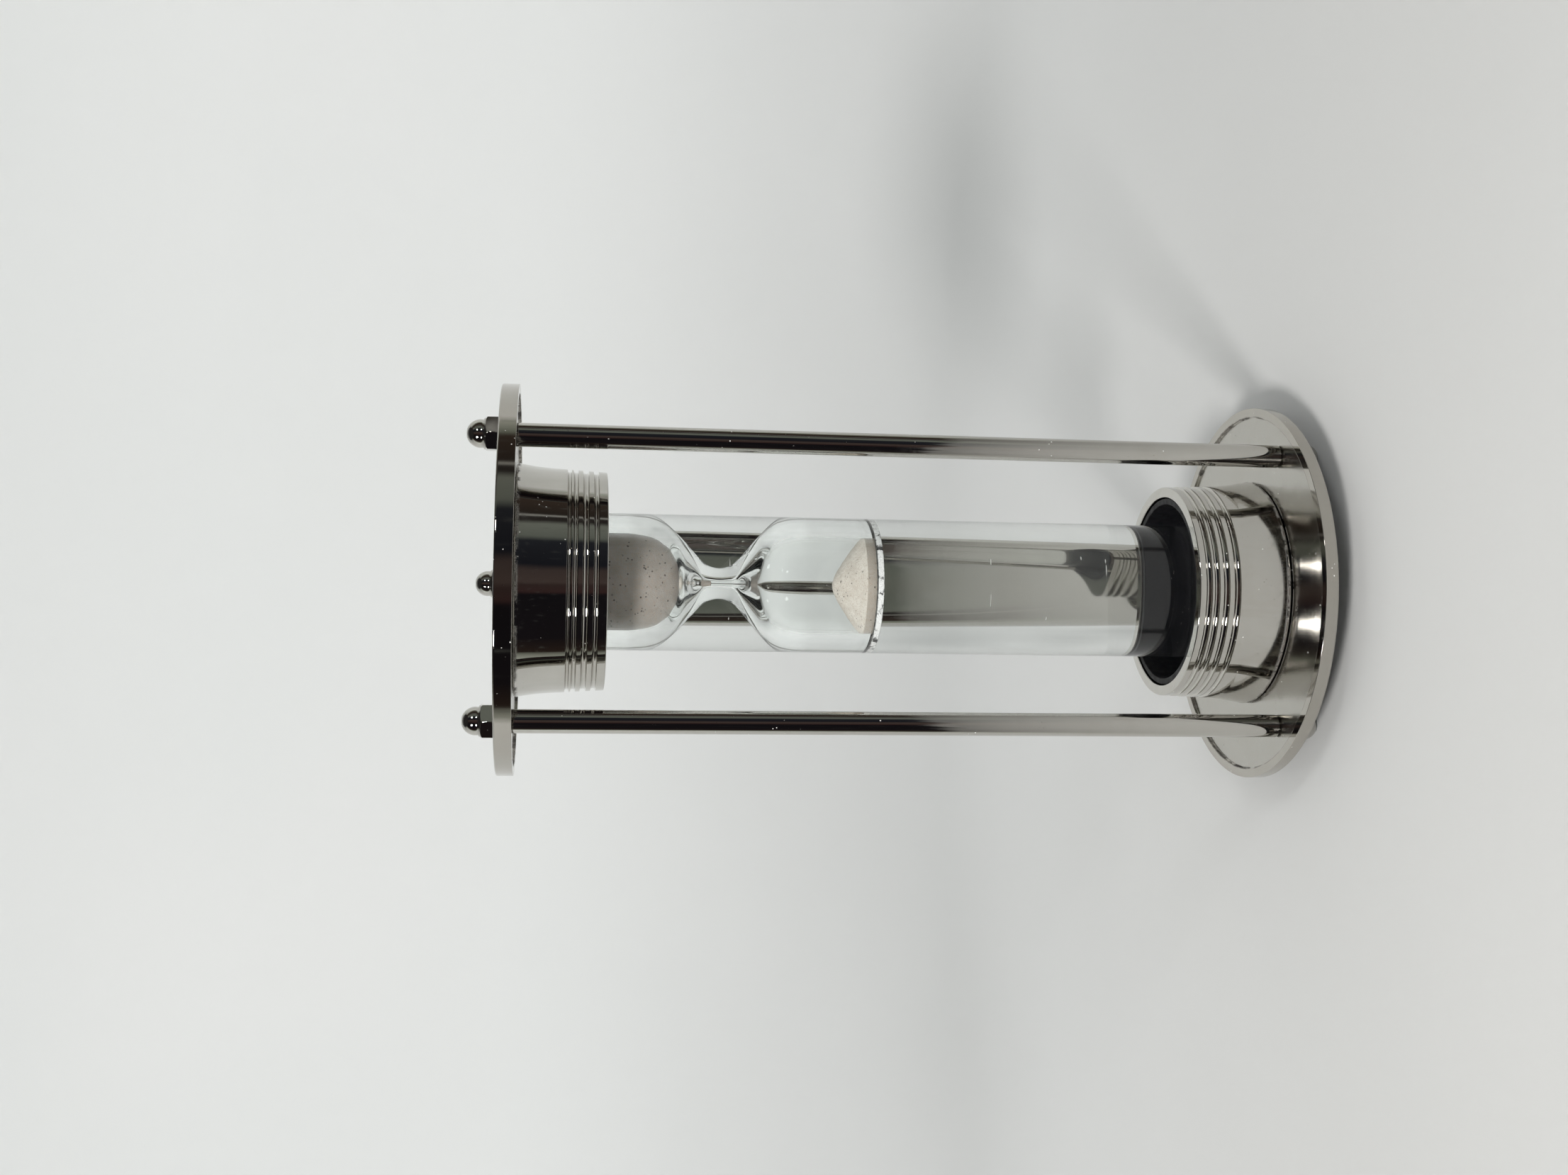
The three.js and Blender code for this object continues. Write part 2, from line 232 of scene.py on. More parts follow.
def finish_mesh(made):
    """Faces point out, shading is smooth except across real edges, and wide faces stay true."""
    shape = bmesh.new()
    shape.from_mesh(made.data)
    bmesh.ops.recalc_face_normals(shape, faces=shape.faces)
    shape.to_mesh(made.data)
    shape.free()
    for face in made.data.polygons:
        face.use_smooth = True
    made.data.set_sharp_from_angle(angle=SHARP)
    level = made.modifiers.new("level", "WEIGHTED_NORMAL")
    level.keep_sharp = True
    apply_modifiers(made, preserve_all_data_layers=True)
    return made


def rounded(corners, steps=5):
    """An outline in mm from (radius, height) corners. A third number rounds that corner."""
    outline = []
    for i, corner in enumerate(corners):
        here = Vector(corner[:2])
        fillet = corner[2] if len(corner) > 2 else 0
        if not fillet:
            outline.append(tuple(here))
            continue
        before = (Vector(corners[i - 1][:2]) - here).normalized()
        after = (Vector(corners[(i + 1) % len(corners)][:2]) - here).normalized()
        half = before.angle(after) / 2
        reach = fillet / math.tan(half)
        centre = here + (before + after).normalized() * (fillet / math.sin(half))
        start = here + before * reach - centre
        end = here + after * reach - centre
        sweep = start.angle_signed(end)
        for k in range(steps + 1):
            angle = -sweep * k / steps
            turn = Matrix.Rotation(angle, 2)
            outline.append(tuple(centre + turn @ start))
    return outline


def turned(name, outline, facets=ROUND, place=(0, 0, 0), flip=False, ring=False):
    """The bare mesh of lathe()."""
    vertices, faces, rows = [], [], []
    for radius, height in outline:
        z = -height if flip else height
        if radius < 1e-6:
            rows.append([len(vertices)])
            vertices.append((place[0], place[1], place[2] + z * MM))
            continue
        row = []
        for k in range(facets):
            angle = 2 * math.pi * k / facets
            row.append(len(vertices))
            vertices.append(
                (
                    place[0] + radius * MM * math.cos(angle),
                    place[1] + radius * MM * math.sin(angle),
                    place[2] + z * MM,
                )
            )
        rows.append(row)
    pairs = list(zip(rows, rows[1:] + (rows[:1] if ring else [])))
    for low, high in pairs:
        if len(low) == 1 and len(high) == 1:
            continue
        for k in range(facets):
            n = (k + 1) % facets
            if len(low) == 1:
                faces.append((low[0], high[n], high[k]))
            elif len(high) == 1:
                faces.append((low[k], low[n], high[0]))
            else:
                faces.append((low[k], low[n], high[n], high[k]))
    return new_object(name, vertices, faces)


def lathe(name, outline, facets=ROUND, place=(0, 0, 0), flip=False, ring=False):
    """Turns an outline in mm about Z. It starts and ends on the axis, or is a closed ring.
    place is in metres, and flip stands the piece on its head."""
    return finish_mesh(turned(name, outline, facets, place, flip, ring))


def carve(made, tools, operation="DIFFERENCE"):
    """Cuts or joins real holes and steps, and removes the tools."""
    for tool in tools:
        cut = made.modifiers.new("cut", "BOOLEAN")
        cut.solver = "EXACT"
        cut.operation = operation
        cut.object = tool
        apply_modifiers(made)
        bpy.data.objects.remove(tool)
    return finish_mesh(made)


def smooth_rise(u):
    """From 0 to 1, level at both ends."""
    return u * u * (3 - 2 * u)


def on_curve(points, distance):
    """Radius in mm at a distance from the neck, on a smooth curve through the points."""
    d = abs(distance)
    if d >= points[-1][0]:
        return points[-1][1]
    slopes = [0.0]
    for before, after in zip(points, points[2:]):
        slopes.append((after[1] - before[1]) / (after[0] - before[0]))
    slopes.append(0.0)
    k = max(i for i, point in enumerate(points) if point[0] <= d)
    (x0, y0), (x1, y1) = points[k], points[k + 1]
    width = x1 - x0
    t = (d - x0) / width
    bend = t * (1 - t) * ((1 - t) * slopes[k] - t * slopes[k + 1]) * width
    return y0 + (y1 - y0) * smooth_rise(t) + bend


def distances_along(points):
    """Even steps from the neck to the end of a curve."""
    return [points[-1][0] * i / GLASS_STEPS for i in range(GLASS_STEPS + 1)]


def settle(made, body, slot, *nodes):
    """Rides on a body and stands for CAD nodes. slot is not used."""
    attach(made, body)
    if nodes:
        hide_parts(*nodes)
    return made


# ================================================================== material helpers
class Nodes:
    """A material's node tree with short calls for its nodes."""

    def __init__(self, name):
        self.material = bpy.data.materials.new(name)
        self.material.use_nodes = True
        self.tree = self.material.node_tree
        self.tree.nodes.clear()
        self.surface = self.tree.nodes.new("ShaderNodeBsdfPrincipled")
        self.output = self.tree.nodes.new("ShaderNodeOutputMaterial")
        self.link(self.surface.outputs["BSDF"], self.output.inputs["Surface"])
        self.place = self.tree.nodes.new("ShaderNodeTexCoord").outputs["Object"]

    def link(self, source, target):
        self.tree.links.new(source, target)

    def math(self, operation, first, second=0.0):
        node = self.tree.nodes.new("ShaderNodeMath")
        node.operation = operation
        for socket, value in zip(node.inputs, (first, second)):
            if isinstance(value, (int, float)):
                socket.default_value = value
            else:
                self.link(value, socket)
        return node.outputs[0]

    def noise(self, scale, detail=2.0, roughness=0.5, where=None, distortion=0.0):
        node = self.tree.nodes.new("ShaderNodeTexNoise")
        node.inputs["Scale"].default_value = scale
        node.inputs["Detail"].default_value = detail
        node.inputs["Roughness"].default_value = roughness
        node.inputs["Distortion"].default_value = distortion
        self.link(where or self.place, node.inputs["Vector"])
        return node.outputs["Fac"]

    def line_noise(self, along, scale):
        """Noise that changes along one number only."""
        node = self.tree.nodes.new("ShaderNodeTexNoise")
        node.noise_dimensions = "1D"
        node.inputs["Scale"].default_value = scale
        node.inputs["Detail"].default_value = 3.0
        self.link(along, node.inputs["W"])
        return node.outputs["Fac"]

    def cells(self, scale):
        node = self.tree.nodes.new("ShaderNodeTexVoronoi")
        node.inputs["Scale"].default_value = scale
        node.inputs["Randomness"].default_value = 1.0
        self.link(self.place, node.inputs["Vector"])
        return node

    def spots(self, scale, full, gone):
        """Small round spots, one in each cell."""
        return self.span(self.cells(scale).outputs["Distance"], full, gone, 1.0, 0.0)

    def span(self, value, low, high, to_low=0.0, to_high=1.0, smooth=False):
        """value mapped from low..high to to_low..to_high, held at the ends."""
        node = self.tree.nodes.new("ShaderNodeMapRange")
        node.interpolation_type = "SMOOTHSTEP" if smooth else "LINEAR"
        for name, number in (
            ("From Min", low),
            ("From Max", high),
            ("To Min", to_low),
            ("To Max", to_high),
        ):
            node.inputs[name].default_value = number
        self.link(value, node.inputs["Value"])
        return node.outputs["Result"]

    def mix(self, share, first, second):
        node = self.tree.nodes.new("ShaderNodeMix")
        node.data_type = "RGBA"
        self.link(share, node.inputs["Factor"])
        for socket, colour in ((node.inputs[6], first), (node.inputs[7], second)):
            if isinstance(colour, tuple):
                socket.default_value = (*colour, 1)
            else:
                self.link(colour, socket)
        return node.outputs[2]

    def axis(self, name):
        node = self.tree.nodes.new("ShaderNodeSeparateXYZ")
        self.link(self.place, node.inputs[0])
        return node.outputs[name]

    def radius(self):
        """Distance from the stand's axis."""
        squares = [self.math("MULTIPLY", self.axis(a), self.axis(a)) for a in "XY"]
        return self.math("SQRT", self.math("ADD", *squares))

    def stretched(self, scale):
        """The place, scaled unevenly, for marks with a direction."""
        node = self.tree.nodes.new("ShaderNodeMapping")
        node.inputs["Scale"].default_value = scale
        self.link(self.place, node.inputs["Vector"])
        return node.outputs["Vector"]

    def bump(self, height, strength, depth):
        node = self.tree.nodes.new("ShaderNodeBump")
        node.inputs["Strength"].default_value = strength
        node.inputs["Distance"].default_value = depth
        self.link(height, node.inputs["Height"])
        self.link(node.outputs["Normal"], self.surface.inputs["Normal"])

    def set(self, **values):
        for name, value in values.items():
            socket = self.surface.inputs[name.replace("_", " ")]
            if isinstance(value, (int, float, tuple)):
                socket.default_value = value
            else:
                self.link(value, socket)


def corner_shade(n, rings):
    """Painted shade: dark, patchy rings in the corners at these distances from the axis."""
    total = 0.0
    for radius, reach in rings:
        off = n.math("ABSOLUTE", n.math("SUBTRACT", n.radius(), radius * MM))
        total = n.math("MAXIMUM", n.span(off, 0.0, reach * MM, 1.0, 0.0), total)
    return n.math("MULTIPLY", total, n.span(n.noise(260, 4, 0.65), 0.42, 0.58))


def nickel(name, follow, tint=NICKEL, grain=0.5, haze=0.035, shaded_rings=(), border_from=None):
    """Polished nickel plate. follow is 'height' or 'radius': what its fine turning marks follow.
    The rings it is given get painted shade: dark patches in the corners at those distances from
    the axis. Beyond the radius border_from it is darker and less hazy."""
    n = Nodes(name)
    along = n.axis("Z") if follow == "height" else n.radius()
    rings = n.line_noise(along, 9000)
    patches = n.noise(70, 4, 0.6)
    smudge = n.span(n.noise(240, 5, 0.65, distortion=0.6), 0.52, 0.75)
    rare = n.span(n.noise(330, 2), 0.6, 0.66)
    specks = n.math("MULTIPLY", n.spots(900, 0.05, 0.16), rare)
    tarnish = n.math("MULTIPLY", n.span(patches, 0.5, 0.8), 0.35)
    colour = n.mix(tarnish, tint, TARNISH)
    streaks = n.span(n.noise(150, 4, 0.7, n.stretched((1, 1, 0.2))), 0.5, 0.8, 0.0, 0.4)
    colour = n.mix(streaks, colour, TARNISH)
    colour = n.mix(n.math("MULTIPLY", specks, 0.55), colour, PIT_BROWN)
    if border_from is not None:
        border = n.span(n.radius(), (border_from - 0.2) * MM, (border_from + 0.1) * MM)
        haze = n.span(border, 0, 1, haze, BORDER_HAZE)
        border = n.math("MULTIPLY", border, n.span(patches, 0.3, 0.7, 0.6, 0.8))
        colour = n.mix(border, colour, BORDER_NICKEL)
    rough = n.math("ADD", haze, n.math("MULTIPLY", smudge, 0.07))
    rough = n.math("ADD", rough, n.math("MULTIPLY", specks, 0.35))
    rough = n.math("ADD", rough, n.math("MULTIPLY", rings, 0.03))
    dusty = n.span(n.noise(190, 2), 0.57, 0.62, 0.0, 0.8)
    dust = n.math("MULTIPLY", n.spots(620, 0.07, 0.13), dusty)
    colour = n.mix(dust, colour, METAL_DUST)
    rough = n.math("ADD", rough, n.math("MULTIPLY", dust, 0.6))
    matt = dust
    # painted shade in the corners: darker, rougher and not metallic there
    if shaded_rings:
        shade_mask = corner_shade(n, shaded_rings)
        colour = n.mix(shade_mask, colour, CORNER_SHADE_COLOUR)
        rough = n.math("ADD", rough, n.math("MULTIPLY", shade_mask, 0.5))
        matt = n.math("MAXIMUM", dust, shade_mask)
    n.set(Base_Color=colour, Roughness=rough, Metallic=n.math("SUBTRACT", 1.0, matt))
    wave = n.math("MULTIPLY", n.noise(45, 1), 6.0)
    n.bump(n.math("ADD", rings, wave), grain, 1.2e-6)
    return n.material


def screw_steel():
    n = Nodes("screw_steel")
    marks = n.noise(1500, 4, 0.6)
    n.set(
        Base_Color=n.mix(marks, (0.50, 0.49, 0.47), (0.66, 0.65, 0.62)),
        Roughness=n.span(marks, 0.2, 0.8, 0.22, 0.42),
        Metallic=1.0,
    )
    n.bump(marks, 0.3, 2e-5)
    return n.material


def black_seat():
    """Matte black lining with pale dust and faint streaks."""
    n = Nodes("black_seat")
    dusty = n.span(n.noise(260, 3), 0.5, 0.62)
    dust = n.math("MULTIPLY", n.spots(1400, 0.05, 0.13), dusty)
    streaks = n.span(n.noise(160, 5, 0.7, n.stretched((1, 1, 0.12))), 0.5, 0.85, 0.0, 0.5)
    film = n.math("ADD", n.math("MULTIPLY", dust, 0.5), n.math("MULTIPLY", streaks, 0.08))
    n.set(
        Base_Color=n.mix(film, (0.005, 0.005, 0.006), (0.36, 0.34, 0.32)),
        Roughness=n.span(n.noise(500, 3), 0.3, 0.7, 0.45, 0.65),
    )
    n.surface.inputs["Specular IOR Level"].default_value = 0.25
    n.bump(n.noise(2500, 3), 0.25, 2e-5)
    return n.material


def black_rubber():
    n = Nodes("black_rubber")
    grain = n.noise(1800, 4, 0.6)
    n.set(
        Base_Color=n.mix(grain, (0.012, 0.012, 0.013), (0.035, 0.034, 0.034)),
        Roughness=n.span(grain, 0.2, 0.8, 0.55, 0.8),
    )
    n.bump(grain, 0.4, 3e-5)
    return n.material


def clear(name, index, wave=0.0, edge=0.0):
    """Clear wall with a painted dark outline, by the share edge, where it is seen edge on. Light
    from lamps and other matt surfaces passes it unbent, so that what is inside stays lit."""
    n = Nodes(name)
    facing = n.tree.nodes.new("ShaderNodeLayerWeight")
    facing.inputs["Blend"].default_value = 0.5
    # painted shade: a dark outline that grows where the wall is seen edge on
    rim = n.math("MULTIPLY", n.math("POWER", facing.outputs["Facing"], 5), edge)
    n.set(Base_Color=n.mix(rim, CLEAR_TINT, CLEAR_OUTLINE_SHADE), Roughness=0.0, IOR=index)
    n.set(Transmission_Weight=1.0)
    n.bump(n.noise(90, 2), wave, 1e-4)
    path = n.tree.nodes.new("ShaderNodeLightPath")
    gap = n.tree.nodes.new("ShaderNodeBsdfTransparent")
    gap.inputs["Color"].default_value = CLEAR_SHADOW
    shown = n.surface.outputs["BSDF"]
    for ray in ("Is Shadow Ray", "Is Diffuse Ray"):
        mixed = n.tree.nodes.new("ShaderNodeMixShader")
        n.link(path.outputs[ray], mixed.inputs[0])
        n.link(shown, mixed.inputs[1])
        n.link(gap.outputs[0], mixed.inputs[2])
        shown = mixed.outputs[0]
    n.link(shown, n.output.inputs["Surface"])
    return n.material


def seam_line():
    """Dark fused line between a bulb and its disc."""
    n = Nodes("fused_seam")
    marks = n.noise(700, 3)
    n.set(
        Base_Color=n.mix(n.span(marks, 0.35, 0.7), (0.02, 0.02, 0.02), (0.14, 0.14, 0.13)),
        Roughness=0.4,
    )
    n.bump(marks, 0.3, 5e-5)
    return n.material


def ground_edge():
    """Ground and chipped rim of an end disc: white glass powder with dark chips."""
    n = Nodes("ground_glass")
    chips = n.noise(900, 4, 0.7)
    dark = n.span(n.noise(420, 3, 0.6), 0.56, 0.62)
    n.set(
        Base_Color=n.mix(dark, (0.85, 0.86, 0.85), (0.05, 0.05, 0.05)),
        Roughness=n.span(chips, 0.3, 0.7, 0.12, 0.5),
    )
    n.set(Transmission_Weight=0.35, IOR=1.3)
    n.bump(chips, 0.9, 2e-4)
    return n.material


def sand(name, light, dark, specks, bank=None):
    """Fine pale sand with brown grains and rare black ones. Below the height bank, in m, it is
    darker with painted shade, at the low bank where it lies against the glass."""
    n = Nodes(name)
    grains = n.cells(5200)
    shade = n.noise(300, 4, 0.6)
    rare = n.span(n.noise(560, 2), 0.56, 0.60)
    fleck = n.math("MULTIPLY", n.spots(1150, 0.22, 0.32), rare)
    colour = n.mix(n.span(shade, 0.3, 0.7), light, dark)
    if bank:
        # painted shade below the bank's height
        below = n.span(n.axis("Z"), bank - 0.0003, bank, 0.75, 0.0)
        colour = n.mix(below, colour, SHADED_BANK_SAND)
    one = n.tree.nodes.new("ShaderNodeSeparateColor")
    n.link(grains.outputs["Color"], one.inputs[0])
    brown = n.math("MULTIPLY", n.math("GREATER_THAN", one.outputs[0], 0.8), 0.35)
    colour = n.mix(brown, colour, BROWN_GRAIN)
    colour = n.mix(n.math("MULTIPLY", fleck, specks), colour, BLACK_GRAIN)
    n.set(Base_Color=colour, Roughness=0.9)
    n.bump(grains.outputs["Distance"], 0.6, 1.5e-4)
    return n.material


# ================================================================== stand
def plate(node, name, flip, material):
    """Round plate with a raised border inside, three stud holes and a countersunk hole."""
    low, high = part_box(node)
    radius = high.x / MM
    thick = (high.z - low.z) / MM
    field = thick - LIP_HEIGHT
    start = (0, 0, high.z if flip else low.z)
    outline = rounded(
        [
            (0, 0),
            (radius, 0, PLATE_EDGE),
            (radius, thick, FINE_EDGE),
            (radius - LIP_WIDTH, thick, FINE_EDGE),
            (radius - LIP_WIDTH, field, FINE_EDGE),
            (0, field),
        ]
    )
    made = lathe(name, outline, place=start, flip=flip)
    tools = []
    hole = STUD_RADIUS + STUD_CLEARANCE
    for side in ("left", "right", "back"):
        at = middle(f"rod_{side}")
        drill = [(0, -1), (hole, -1), (hole, thick + 1), (0, thick + 1)]
        tools.append(lathe("drill", drill, SMALL_ROUND, (at.x, at.y, start[2]), flip))
    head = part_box("lower_collar_screw")[1].x / MM + STUD_CLEARANCE
    slope = (head - hole) / SCREW_HEAD
    sink = [(0, -1), (head + slope, -1), (hole, SCREW_HEAD), (hole, thick + 1), (0, thick + 1)]
    tools.append(lathe("sink", sink, SMALL_ROUND, start, flip))
    carve(made, tools)
    made.data.materials.append(material)
    return settle(made, "stand", "nickel_plate", node)


def collar(node, name, grooves, shape, flip, material):
    """Turned collar: flared foot, slightly conical wall with round grooves, and an open rim."""
    low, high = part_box(node)
    foot = high.x / MM
    height = (high.z - low.z) / MM
    waist, spread, rise = shape
    slope = (waist - COLLAR_RIM) / (height - COLLAR_WAIST_HEIGHT)

    def cone(z):
        return COLLAR_RIM + (height - z) * slope

    hole = SCREW_RADIUS + STUD_CLEARANCE
    foot_corner = (foot, 0, COLLAR_FOOT_EDGE * 0.7)
    wall = rounded([(hole, 0), foot_corner, (foot, COLLAR_FOOT_EDGE)])[:-1]
    for k in range(FLARE_STEPS + 1):
        u = k / FLARE_STEPS
        z = COLLAR_FOOT_EDGE + (COLLAR_FLARE - COLLAR_FOOT_EDGE) * u
        wall.append((cone(z) + spread * (1 - u) ** rise, z))
    for from_rim, width in reversed(grooves):
        centre = height - from_rim
        reach = width / 2 + GROOVE_SHOULDER * width
        wall.append((cone(centre - reach), centre - reach))
        for k in range(GROOVE_STEPS + 1):
            angle = math.pi * k / GROOVE_STEPS
            z = centre - width / 2 * math.cos(angle)
            depth = GROOVE_DEPTH * math.sin(angle) ** GROOVE_FULLNESS
            wall.append((cone(z) - GROOVE_LAND - depth, z))
        wall.append((cone(centre + reach), centre + reach))
    rim = rounded(
        [
            (cone(height - 1), height - 1),
            (COLLAR_RIM, height, EDGE),
            (COLLAR_BORE, height, EDGE),
            (COLLAR_BORE, COLLAR_FLOOR, EDGE),
            (hole, COLLAR_FLOOR),
        ]
    )
    start = (0, 0, high.z if flip else low.z)
    made = lathe(name, wall + rim[1:], place=start, flip=flip, ring=True)
    made.data.materials.append(material)
    return settle(made, "stand", "nickel_collar", node)


def collar_screw(node, name, flip, material):
    low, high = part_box(node)
    head = high.x / MM
    length = (high.z - low.z) / MM
    start = (0, 0, high.z if flip else low.z)
    outline = rounded(
        [
            (0, 0),
            (head, 0, FINE_EDGE),
            (SCREW_RADIUS, SCREW_HEAD),
            (SCREW_RADIUS, length - STUD_CHAMFER),
            (SCREW_RADIUS - STUD_CHAMFER, length),
            (0, length),
        ]
    )
    made = lathe(name, outline, SMALL_ROUND, start, flip)
    width, depth = SCREW_SLOT
    half = (2 * head * MM, width * MM / 2, depth * MM)
    corners = [(x, y, z) for x in (-1, 1) for y in (-1, 1) for z in (-1, 1)]
    vertices = [(x * half[0], y * half[1], start[2] + z * half[2]) for x, y, z in corners]
    faces = [(0, 1, 3, 2), (4, 6, 7, 5), (0, 4, 5, 1), (2, 3, 7, 6), (0, 2, 6, 4), (1, 5, 7, 3)]
    carve(made, [finish_mesh(new_object("slot", vertices, faces))])
    made.data.materials.append(material)
    return settle(made, "stand", "screw_steel", node)


def seat(node, name, flip, material):
    """Black cup inside a collar."""
    low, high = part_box(node)
    outer = high.x / MM
    height = (high.z - low.z) / MM
    outline = rounded(
        [
            (0, 0),
            (outer, 0, EDGE),
            (outer, height, EDGE),
            (outer - SEAT_WALL, height, EDGE),
            (outer - SEAT_WALL, SEAT_BLOCK, SEAT_CORNER),
            (SEAT_BORE, SEAT_BLOCK, EDGE),
            (SEAT_BORE, SEAT_FLOOR, EDGE),
            (0, SEAT_FLOOR),
        ]
    )
    made = lathe(name, outline, place=(0, 0, high.z if flip else low.z), flip=flip)
    made.data.materials.append(material)
    return settle(made, "stand", "black_seat", node)


def plug(node, name, material):
    low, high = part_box(node)
    radius = high.x / MM
    length = (high.z - low.z) / MM
    corners = [(0, 0), (radius, 0, PLUG_EDGE), (radius, length, PLUG_EDGE), (0, length)]
    outline = rounded(corners)
    made = lathe(name, outline, GLASS_ROUND, (0, 0, low.z))
    made.data.materials.append(material)
    return settle(made, "stand", "black_rubber", node)


def rod(node, name, material):
    """Rod with a broken edge at each shoulder and a reduced stud at each end."""
    low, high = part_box(node)
    at = middle(node)
    radius = (high.x - low.x) / 2 / MM
    length = (high.z - low.z) / MM
    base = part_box("base_plate")
    shoulder = (base[1].z - LIP_HEIGHT * MM - low.z) / MM + STUD_CLEARANCE
    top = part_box("top_plate")
    high_shoulder = (top[0].z + LIP_HEIGHT * MM - low.z) / MM - STUD_CLEARANCE
    outline = rounded(
        [
            (0, 0),
            (STUD_RADIUS - STUD_CHAMFER, 0),
            (STUD_RADIUS, STUD_CHAMFER),
            (STUD_RADIUS, shoulder),
            (radius, shoulder, EDGE),
            (radius, high_shoulder, EDGE),
            (STUD_RADIUS, high_shoulder),
            (STUD_RADIUS, length - STUD_CHAMFER),
            (STUD_RADIUS - STUD_CHAMFER, length),
            (0, length),
        ]
    )
    made = lathe(name, outline, SMALL_ROUND, (at.x, at.y, low.z))
    made.data.materials.append(material)
    return settle(made, "stand", "nickel_rod", node)


def cap_nut(node, name, flip, material):
    """Hexagon with a turned chamfer, a small turned step and a dome."""
    low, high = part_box(node)
    at = middle(node)
    height = (high.z - low.z) / MM
    start = Vector((at.x, at.y, high.z if flip else low.z))
    corner = NUT_FLATS / math.sqrt(3)
    sign = -1 if flip else 1
    vertices, faces = [], []
    for z in (0, NUT_HEX):
        for k in range(6):
            angle = math.radians(90 + 60 * k)
            spot = Vector((math.cos(angle) * corner, math.sin(angle) * corner, sign * z))
            vertices.append(start + spot * MM)
    faces.append((5, 4, 3, 2, 1, 0))
    faces.append((6, 7, 8, 9, 10, 11))
    faces += [(k, (k + 1) % 6, (k + 1) % 6 + 6, k + 6) for k in range(6)]
    made = finish_mesh(new_object(name, vertices, faces))
    bevel = made.modifiers.new("edge", "BEVEL")
    bevel.width = FINE_EDGE * MM
    bevel.segments = 3
    bevel.limit_method = "ANGLE"
    apply_modifiers(made)
    chamfer = [
        (0, -1),
        (corner + 1, -1),
        (corner + 0.6, NUT_HEX - 0.6 - NUT_CHAMFER),
        (corner - NUT_CHAMFER - 0.25, NUT_HEX - 0.02),
        (0, NUT_HEX - 0.02),
    ]
    carve(made, [lathe("turning", chamfer, SMALL_ROUND * 2, start, flip)], "INTERSECT")
    centre = height - math.sqrt(DOME_RADIUS**2 - DOME_FLAT**2)
    tip = math.acos(DOME_FLAT / DOME_RADIUS)
    step = DOME_RADIUS + NUT_COLLAR
    dome = [(0, 1), (step, 1), (step, NUT_HEX + NUT_STEP[0]), (DOME_RADIUS, NUT_HEX + NUT_STEP[1])]
    for k in range(DOME_STEPS + 1):
        angle = tip * k / DOME_STEPS
        dome.append((DOME_RADIUS * math.cos(angle), centre + DOME_RADIUS * math.sin(angle)))
    dome.append((0, height))
    carve(made, [lathe("dome", dome, SMALL_ROUND * 2, start, flip)], "UNION")
    bore, depth, cone = NUT_BORE
    drill = [(0, -1), (bore, -1), (bore, depth), (0, depth + cone)]
    carve(made, [lathe("bore", drill, SMALL_ROUND, start, flip)])
    made.data.materials.append(material)
    return settle(made, "stand", "nickel_nut", node)


# ================================================================== tube and sand glass
def paint_faces(made, index_of):
    """Gives each face the material slot that index_of(radius in mm, height in m, normal) says."""
    for face in made.data.polygons:
        centre = face.center
        face.material_index = index_of(math.hypot(centre.x, centre.y) / MM, centre.z, face.normal)


def tube(materials):
    low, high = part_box("tube")
    radius = high.x / MM
    length = (high.z - low.z) / MM
    outline = rounded(
        [
            (radius - TUBE_WALL, 0, EDGE),
            (radius, 0, EDGE),
            (radius, length, EDGE),
            (radius - TUBE_WALL, length, EDGE),
        ]
    )
    made = lathe("tube_clear", outline, GLASS_ROUND, (0, 0, low.z), ring=True)
    for material in materials:
        made.data.materials.append(material)
    border = radius - TUBE_WALL + 0.05
    paint_faces(made, lambda r, z, n: 1 if r < border else 0)
    return settle(made, "stand", "clear_tube", "tube")


def bulbs(materials):
    """Both bulbs and the neck between them, open at the ends."""
    low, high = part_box("hourglass_bulbs")
    radius = high.x / MM
    half = (high.z - low.z) / 2 / MM
    neck = middle("hourglass_bulbs")
    end = half + STUD_CLEARANCE - DISC_SEAM
    upper = distances_along(GLASS_OUTSIDE)[1:] + [end - SEAM, end]
    outer = [-d for d in upper[::-1]] + [0] + upper
    outside = [(on_curve(GLASS_OUTSIDE, d), d) for d in outer]
    upper = distances_along(GLASS_INSIDE)[1:] + [end]
    inner = upper[::-1] + [0] + [-d for d in upper]
    inside = [(on_curve(GLASS_INSIDE, d), d) for d in inner]
    made = lathe("hourglass_glass", outside + inside, GLASS_ROUND, neck, ring=True)
    for material in materials:
        made.data.materials.append(material)

    def side(r, z, normal):
        d = abs(z - neck.z) / MM
        if abs(r - radius) < 0.1 and d > end - SEAM or d > end - 0.01:
            return 2
        between = (on_curve(GLASS_INSIDE, d) + on_curve(GLASS_OUTSIDE, d)) / 2
        return 1 if r < between else 0

    paint_faces(made, side)
    return settle(made, "float", "clear_glass", "hourglass_bulbs")


def end_disc(node, name, upper, materials):
    """Flat glass disc that closes a bulb, with a ground and chipped rim."""
    low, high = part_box(node)
    radius = high.x / MM
    thick = (high.z - low.z) / MM
    outline = rounded(
        [
            (0, 0),
            (GLASS_BORE, 0),
            (radius, 0, DISC_EDGE),
            (radius, thick, DISC_EDGE),
            (GLASS_BORE, thick),
            (0, thick),
        ]
    )
    made = lathe(name, outline, GLASS_ROUND, (0, 0, low.z))
    for vertex in made.data.vertices:
        reach = math.hypot(vertex.co.x, vertex.co.y) / MM
        if reach < radius - CHIPPED:
            continue
        bite = max(0.0, noise.noise(vertex.co * 900) - 0.1) * CHIP_DEPTH
        shrink = 1 - bite / reach
        vertex.co.x *= shrink
        vertex.co.y *= shrink
    for material in materials:
        made.data.materials.append(material)
    cavity = low.z if upper else high.z

    def kind(r, z, normal):
        if r > GLASS_BORE + 0.2 and abs(normal.z) < 0.9:
            return 2
        return 1 if r < GLASS_BORE and abs(z - cavity) < 1e-5 else 0

    paint_faces(made, kind)
    return settle(made, "float", "clear_glass", node)


